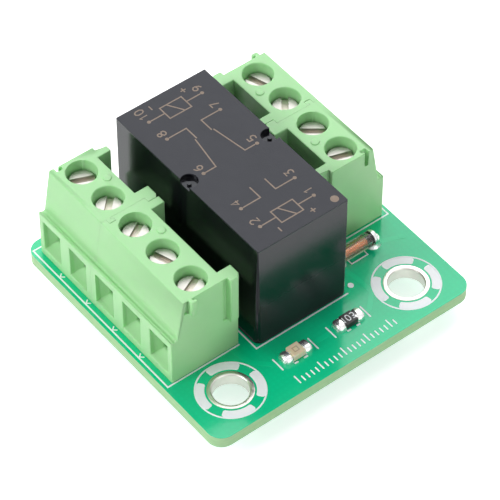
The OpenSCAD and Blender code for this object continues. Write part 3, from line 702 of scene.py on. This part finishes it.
# The case print: a wiring diagram with pin numbers, burnt into the top by laser as a tan line.
# Two coils stand at the ends, and between them two change-over contacts face the middle.
mark_h = 0.004
mark_w = 0.13
pin_y = 2.85
pin_r = 0.18
coil_size = (0.75, 1.15)
coil_slant = 0.4
common_bend = 1.55
blade_tip = (-3.62, 0.98)
throw_tip = (3.6, 0.8)
sign_out = 1.25
sign_y = 1.75
sign_half = 0.28
label_in = 0.5
first_pin_spot = (9.0, 3.95)
first_pin_r = 0.38
digit_h = 0.78
digit_step = 0.9
digit_strokes = {
    "0": [(0.0, 0.25), (0.0, 0.75), (0.18, 1.0), (0.42, 1.0), (0.6, 0.75), (0.6, 0.25),
          (0.42, 0.0), (0.18, 0.0), (0.0, 0.25)],
    "1": [(0.12, 0.78), (0.36, 1.0), (0.36, 0.0)],
    "2": [(0.0, 0.78), (0.16, 1.0), (0.44, 1.0), (0.6, 0.78), (0.55, 0.55), (0.0, 0.0), (0.62, 0.0)],
    "3": [(0.0, 1.0), (0.58, 1.0), (0.26, 0.6), (0.46, 0.58), (0.6, 0.36), (0.56, 0.14),
          (0.36, 0.0), (0.0, 0.08)],
    "4": [(0.46, 0.0), (0.46, 1.0), (0.0, 0.3), (0.64, 0.3)],
    "5": [(0.56, 1.0), (0.06, 1.0), (0.02, 0.56), (0.36, 0.62), (0.6, 0.42), (0.58, 0.16),
          (0.36, 0.0), (0.0, 0.06)],
    "6": [(0.5, 1.0), (0.2, 0.82), (0.02, 0.46), (0.02, 0.2), (0.2, 0.0), (0.44, 0.0),
          (0.6, 0.2), (0.58, 0.42), (0.4, 0.56), (0.08, 0.46)],
    "7": [(0.0, 1.0), (0.6, 1.0), (0.22, 0.0)],
    "8": [(0.3, 0.54), (0.08, 0.66), (0.08, 0.88), (0.22, 1.0), (0.4, 1.0), (0.54, 0.88),
          (0.54, 0.66), (0.3, 0.54), (0.0, 0.36), (0.02, 0.14), (0.18, 0.0), (0.42, 0.0),
          (0.6, 0.14), (0.62, 0.36), (0.32, 0.55)],
    "9": [(0.1, 0.0), (0.4, 0.18), (0.58, 0.54), (0.58, 0.8), (0.4, 1.0), (0.16, 1.0),
          (0.0, 0.8), (0.02, 0.58), (0.2, 0.44), (0.52, 0.54)],
}


def numerals(text, start, size, width, base, height, right, up):
    """Plain digits as ribs: each point of a stroke is the start plus a part of the size to the right and a
    part of it up, and each digit starts one step to the right of the last.
    """
    right, up = np.array(right) * size, np.array(up) * size
    shapes = []
    for place_in, digit in enumerate(text):
        a, b = np.array(digit_strokes[digit]).T[:, :, None]
        path = np.array(start) + (a + digit_step * place_in) * right + b * up
        shapes.append(rib(path, width, base, height, width / 2))
    return shapes


def mark(path, ring=False):
    """A lasered line on the case, its points counted from the middle of the top."""
    return rib(np.array(path) + relay_mid[:2], mark_w, relay_high[2], mark_h, mark_w / 2, ring)


case_print = []
end_x, throw_x = 3 * lead_grid, 2 * lead_grid
for s in (-1, 1):
    for x in (-end_x, -throw_x, 0, throw_x, end_x):
        case_print.append(disc(relay_mid[:2] + (x, s * pin_y), pin_r, relay_high[2], mark_h))
    pin_edge = s * (pin_y - pin_r)
    case_print.append(mark([(0, pin_edge), (0, s * common_bend), (blade_tip[0], s * blade_tip[1])]))
    for e in (-1, 1):
        tip_x, tip_y = e * throw_tip[0], s * throw_tip[1]
        case_print.append(mark([(e * throw_x, pin_edge), (e * throw_x, tip_y), (tip_x, tip_y)]))
        case_print.append(mark([(e * end_x, pin_edge), (e * end_x, s * coil_size[1])]))
for e in (-1, 1):
    wide, tall = coil_size
    left, right = e * end_x - wide, e * end_x + wide
    case_print.append(mark([(left, -tall), (right, -tall), (right, tall), (left, tall)], True))
    case_print.append(mark([(left, -tall * coil_slant), (right, tall * coil_slant)]))
    sign_x = e * (end_x + sign_out)
    for y in (-sign_y, sign_y):
        case_print.append(mark([(sign_x - sign_half, y), (sign_x + sign_half, y)]))
    case_print.append(mark([(sign_x, sign_y - sign_half), (sign_x, sign_y + sign_half)]))
pin_labels = {(3, 1): "1", (2, 1): "3", (0, 1): "5", (-2, 1): "7", (-3, 1): "9",
              (3, -1): "2", (2, -1): "4", (0, -1): "6", (-2, -1): "8", (-3, -1): "10"}
for (k, s), label in pin_labels.items():
    start = relay_mid[:2] + (k * lead_grid - label_in, s * pin_y + digit_h / 2)
    case_print += numerals(label, start, digit_h, mark_w, relay_high[2], mark_h, (-1, 0), (0, -1))
case_print.append(disc(relay_mid[:2] + first_pin_spot, first_pin_r, relay_high[2], mark_h))

mark_finish = mottled("lasered tan mark", {"IOR": 1.45}, (0.20, 0.15, 0.115, 1), (0.31, 0.24, 0.19, 1),
                      0.00008, 0.000006, (0.55, 0.7))
new_piece("case_print", case_print, mark_finish)


# The lamp and its resistor: chip parts with a cast or coated body between two tinned ends.
# The lamp's lens is cream resin, and the resistor's black coat carries a white value.
chip_round = 0.06
code_h = 0.62
code_w = 0.11
code_rise = 0.008
code_back = 0.72
code_squeeze = 0.9
die_inside = (0.00016, 0.0002)
die_outside = (0.00029, 0.00025)
lens_constants = {"IOR": 1.52, "Subsurface Weight": 0.5, "Subsurface Scale": 0.0003}
lens_finish, place = new_finish("cream cast lens", lens_constants)
led_mid = (led_low + led_high) / 2 * MM
off_x = abs(place.axis("X") - led_mid[0])
off_y = abs(place.axis("Y") - led_mid[1])
off = place.maths("MAXIMUM", off_x, off_y)
die = off.step(*die_inside) * off.step(*die_outside)
lens_colour = place.noise(0.0006).mix((0.80, 0.69, 0.48, 1), (0.88, 0.79, 0.60, 1))
feed(lens_finish, {
    "Base Color": (0.7 * die).mix(lens_colour, (0.42, 0.32, 0.18, 1)),
    "Roughness": 0.3 + 0.1 * place.noise(0.0005),
})
coat_finish = mottled("black resistor coat", {"IOR": 1.5}, (0.012, 0.012, 0.013, 1), (0.024, 0.024, 0.026, 1),
                      0.00015, 0.000008, (0.32, 0.5))
end_finish = mottled("tinned chip end", {"Metallic": 1.0}, (0.80, 0.80, 0.80, 1), (0.92, 0.92, 0.91, 1),
                     0.0002, 0.000008, (0.2, 0.36))
softened("led_body", "lamp_lens", chip_round, lens_finish)
softened("resistor_body", "resistor_coat", chip_round, coat_finish)
code_start = (chip_x - code_h / 2, (ohm_low[1] + ohm_high[1]) / 2 - code_back)
code_along, code_up = (0, code_squeeze), (1, 0)
code_print = numerals("103", code_start, code_h, code_w, ohm_high[2], code_rise, code_along, code_up)
new_piece("resistor_value", code_print, ink_finish)


# The diode: a clear glass tube between two plated caps, with copper-coated studs sealed inside it.
# It is a surface-mounted part that lies on its side and is soldered by both caps.
cap_l = 0.5
dome_r = 0.38
stud_end = 1.05
gap_shade_blur = 0.05
diode_mid = (diode_low + diode_high) / 2
diode_r = (diode_high[0] - diode_low[0]) / 2
diode_half = (diode_high[1] - diode_low[1]) / 2
glass_finish, place = new_finish("clear glass", {"IOR": 1.5, "Transmission Weight": 1.0})
feed(glass_finish, {
    "Base Color": place.noise(0.0008).mix((0.98, 0.90, 0.84, 1), (1.0, 0.95, 0.92, 1)),
    "Roughness": 0.02 + 0.03 * place.noise(0.0008),
})
stud_finish, place = new_finish("copper studs", {"Metallic": 0.85})
# Past a line towards the cap at higher y, the studs are painted near black: painted shade for the gap between
# stud and cap.
gap_shade_y = diode_mid[1] + stud_end
gap_shade = place.axis("Y").step((gap_shade_y - gap_shade_blur) * MM, (gap_shade_y + gap_shade_blur) * MM)
copper = place.noise(0.0004).mix((0.98, 0.29, 0.12, 1), (1.0, 0.42, 0.21, 1))
feed(stud_finish, {
    "Base Color": gap_shade.mix(copper, (0.03, 0.015, 0.012, 1)),
    "Roughness": 0.38 + 0.15 * place.noise(0.0005),
    "Normal": place.noise(0.0003).bump(0.00001),
})
wear(glass_finish, "diode_glass")
wear(stud_finish, "diode_die")
bend = np.linspace(0, math.pi / 2, 12)
dome_centre = np.array([diode_r, diode_half]) - dome_r
cap_curve = dome_centre + dome_r * np.stack([np.cos(bend), np.sin(bend)], 1)
cap_back = diode_half - cap_l
cap_profile = np.vstack([[(0, cap_back), (diode_r, cap_back)], cap_curve, [(0, diode_half)]])
caps = [turned(cap_profile * (1, s), diode_mid, (0, 2, 1)) for s in (-1, 1)]
cap_piece = new_piece("diode_domed_caps", caps, end_finish)
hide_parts("diode_caps")
wear(end_finish, "diode_caps")


# The solder of the small parts: a bright dome runs over each chip end and down to its pad, and the
# diode's caps sit in little pools with hollow sides.
chip_half = 1.0
dome_half = (0.7, 0.54)
dome_rise = 0.7
dome_square = 0.72
dome_points = 44
pool_r = (0.6, 0.82)
pool_h = 0.72
foot_z = -0.005


def dome(spot):
    """A solder dome: half an ellipsoid whose sines and cosines are raised to a power below one, so that
    its sides are squared off; u runs from the board up to the top and v round it.
    """
    u = np.linspace(0, math.pi / 2, 14)[:, None]
    v = np.linspace(0, 2 * math.pi, dome_points, endpoint=False)[None, :]
    turn = [np.sign(wave) * np.abs(wave) ** dome_square for wave in (np.cos(v), np.sin(v))]
    out = np.cos(u) ** dome_square
    level = dome_rise * np.sin(u) ** dome_square + 0 * v
    points = np.stack([dome_half[0] * out * turn[0], dome_half[1] * out * turn[1], level], -1)
    foot = np.broadcast_to([0, 0, foot_z], (1, dome_points, 3))
    points = np.concatenate([foot, points]) + (*spot, board_top)
    return points.reshape(-1, 3), grid_faces(len(points), dome_points, False, True)


blobs = []
for low, high in ((led_low, led_high), (ohm_low, ohm_high)):
    middle = (low[1] + high[1]) / 2
    for s in (-1, 1):
        blobs.append(dome((chip_x, middle + s * chip_half)))
chip_solder = new_piece("chip_solder_domes", blobs, solder_finish)
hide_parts("chip_ends")
t = np.linspace(0, 1, 12)
pool_side = np.stack([pool_r[0] + (pool_r[1] - pool_r[0]) * (1 - t) ** 2, pool_h * t], 1)
pool = np.vstack([[(0, foot_z), (pool_r[1], foot_z)], pool_side, [(0, pool_h)]])
pool_spots = [(diode_x, diode_mid[1] + s * (diode_half - cap_l / 2), board_top) for s in (-1, 1)]
pools = new_piece("diode_solder_pools", [turned(pool, spot, count=40) for spot in pool_spots], solder_finish)
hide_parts("chip_solder")
wear(solder_finish, "chip_solder", "chip_ends")


# The stage: a pale floor under the lead tips, a white world, three soft lamps and a camera at the photo's
# angle. The floor glows only where it is seen or mirrored, so that it looks white and keeps the shadow.
floor_half = 3.0
floor_glow = 0.62
sky_low = 0.55
sky_rise = 0.45
sky_span = (-0.2, 0.7)
soft_level = 0.32
lamp_aim = Vector((0, 0, 0.006))
floor_mesh = bpy.data.meshes.new("floor")
floor_corners = [(x, y, 0) for x, y in ((-1, -1), (1, -1), (1, 1), (-1, 1))]
floor_mesh.from_pydata((np.array(floor_corners) * floor_half).tolist(), [], [[0, 1, 2, 3]])
floor = bpy.data.objects.new("floor", floor_mesh)
bpy.context.scene.collection.objects.link(floor)
floor_finish, place = new_finish("pale floor", {"Base Color": (0.9, 0.9, 0.9, 1), "Roughness": 0.9})
ray_kinds = ("Is Camera Ray", "Is Glossy Ray", "Is Transmission Ray")
rays = [place.node("LightPath", {}, {}, kind) for kind in ray_kinds]
seen = place.maths("MAXIMUM", rays[0], place.maths("MAXIMUM", rays[1], rays[2]))
lit = Field(place.tree, place.tree.nodes["Principled BSDF"].outputs[0])
glow = place.node("Emission", {}, {"Color": (1, 1, 1, 1), "Strength": floor_glow})
white = place.node("AddShader", {}, {0: lit, 1: glow})
floor_look = place.node("MixShader", {}, {0: seen, 1: lit, 2: white})
place.tree.links.new(floor_look.socket, place.tree.nodes["Material Output"].inputs["Surface"])
floor_mesh.materials.append(floor_finish)

world = bpy.data.worlds.new("studio")
bpy.context.scene.world = world
world.use_nodes = True
start = Field(world.node_tree)
seen, shiny, through = (start.node("LightPath", {}, {}, kind) for kind in ray_kinds)
height = start.node("TexCoord", {}, {}, "Generated").axis("Z")
sky = sky_low + sky_rise * height.step(*sky_span)
direct = start.maths("MAXIMUM", seen, through)
level = direct + (1 - direct) * (shiny * sky + (1 - shiny) * soft_level)
background = world.node_tree.nodes["Background"]
background.inputs["Color"].default_value = (1, 1, 1, 1)
world.node_tree.links.new(level.socket, background.inputs["Strength"])


def soft_lamp(name, spot, size, power):
    """A square area lamp at a spot in metres, turned to the middle of the module."""
    light = bpy.data.lights.new(name, "AREA")
    light.size = size
    light.energy = power
    lamp = bpy.data.objects.new(name, light)
    lamp.location = spot
    lamp.rotation_euler = (lamp_aim - Vector(spot)).to_track_quat("-Z", "Y").to_euler()
    bpy.context.scene.collection.objects.link(lamp)


soft_lamp("key", (-0.12, -0.44, 0.30), 0.24, 1.55)
soft_lamp("back", (-0.27, 0.21, 0.39), 0.62, 2.25)
soft_lamp("fill", (0.45, 0.04, 0.12), 0.30, 0.45)

camera_data = bpy.data.cameras.new("photo_camera")
camera_data.sensor_width = 36
camera_data.lens = 212.6
camera = bpy.data.objects.new("photo_camera", camera_data)
eye = Vector((133.224, -104.465, 195.006)) * MM
aim = Vector((1.27, -0.74, 7.0)) * MM
camera.location = eye
camera.rotation_euler = (aim - eye).to_track_quat("-Z", "Y").to_euler()
bpy.context.scene.collection.objects.link(camera)
bpy.context.scene.camera = camera
bpy.context.scene.view_settings.view_transform = "Standard"
